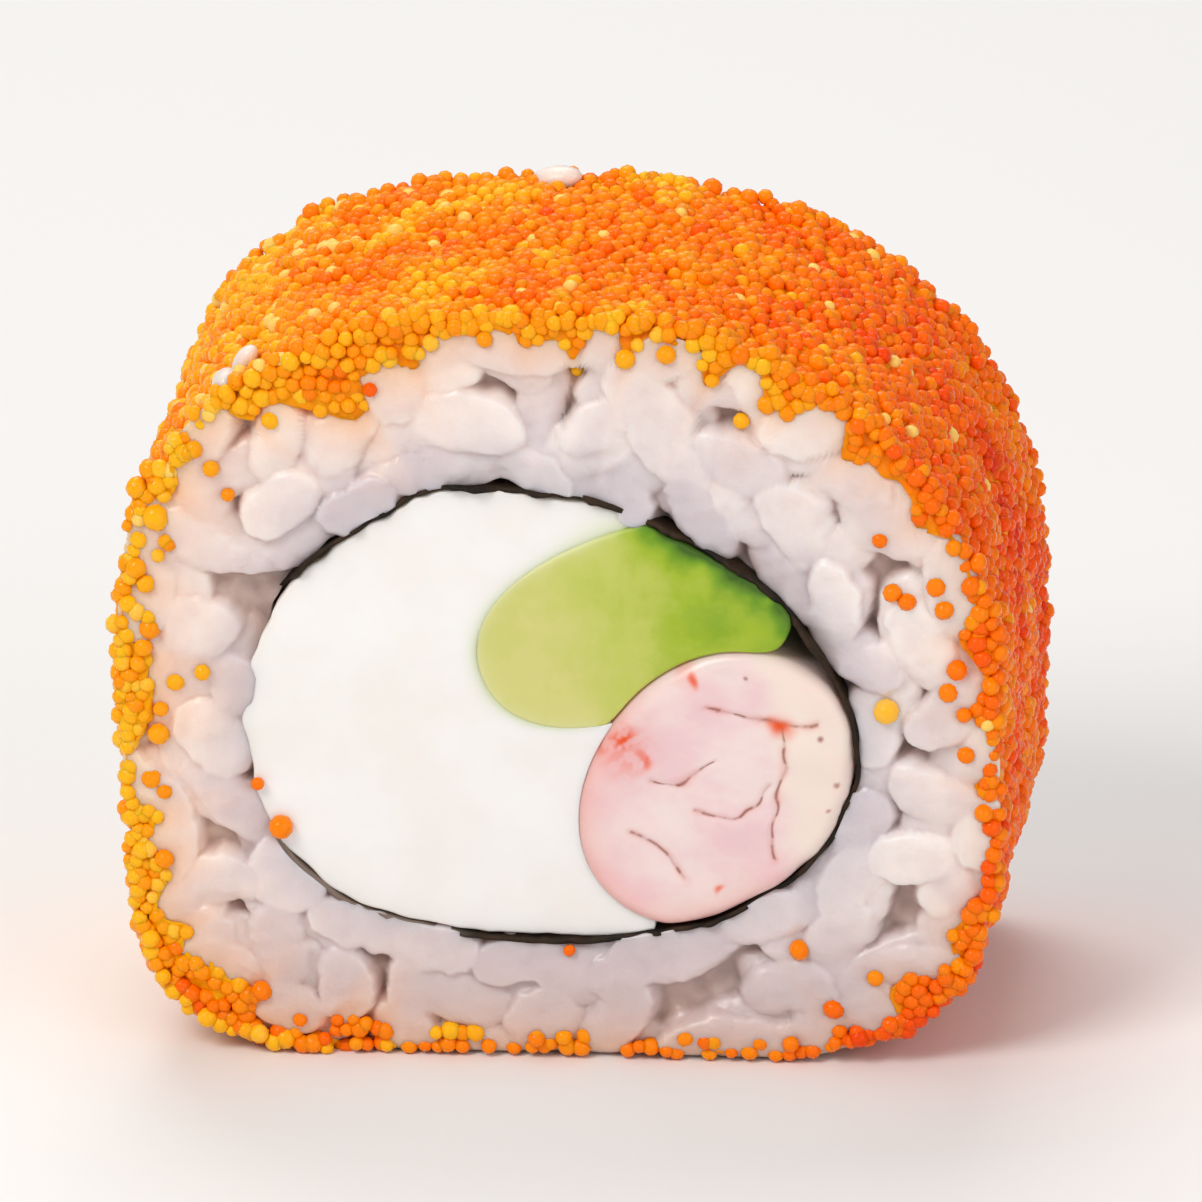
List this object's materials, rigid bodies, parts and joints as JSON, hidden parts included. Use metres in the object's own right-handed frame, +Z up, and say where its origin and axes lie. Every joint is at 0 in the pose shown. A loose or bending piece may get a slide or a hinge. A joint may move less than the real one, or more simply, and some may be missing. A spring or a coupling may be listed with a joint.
{
  "type": "california roll",
  "caption": "Cut piece of inside-out sushi roll: orange fish roe over a ring of rice, with nori round cream cheese, avocado and shrimp; stands on a flattened side.",
  "frame": {"origin": "middle of the flat foot, under the centre of the bounding box", "axes": "+X across the piece, to the right seen from the cut face with the fillings as pictured; +Y along the roll, from that front cut to the back cut; +Z up"},
  "size_m": [0.0494, 0.024, 0.044],
  "materials": {
    "roe": "small moist glossy orange eggs",
    "rice": "moist, slightly translucent grains",
    "nori": "damp dark green-brown seaweed",
    "cream_cheese": "smooth knife-cut cream cheese",
    "avocado": "smooth flesh, deep green towards the skin side",
    "shrimp": "moist cooked shrimp with a pink rim and thin orange-red veins"
  },
  "bodies": {
    "root": {"roe_coat": "roe", "rice_ring": "rice", "nori_band": "nori", "cream_cheese": "cream_cheese", "avocado": "avocado", "shrimp": "shrimp"}
  },
  "joints": []
}
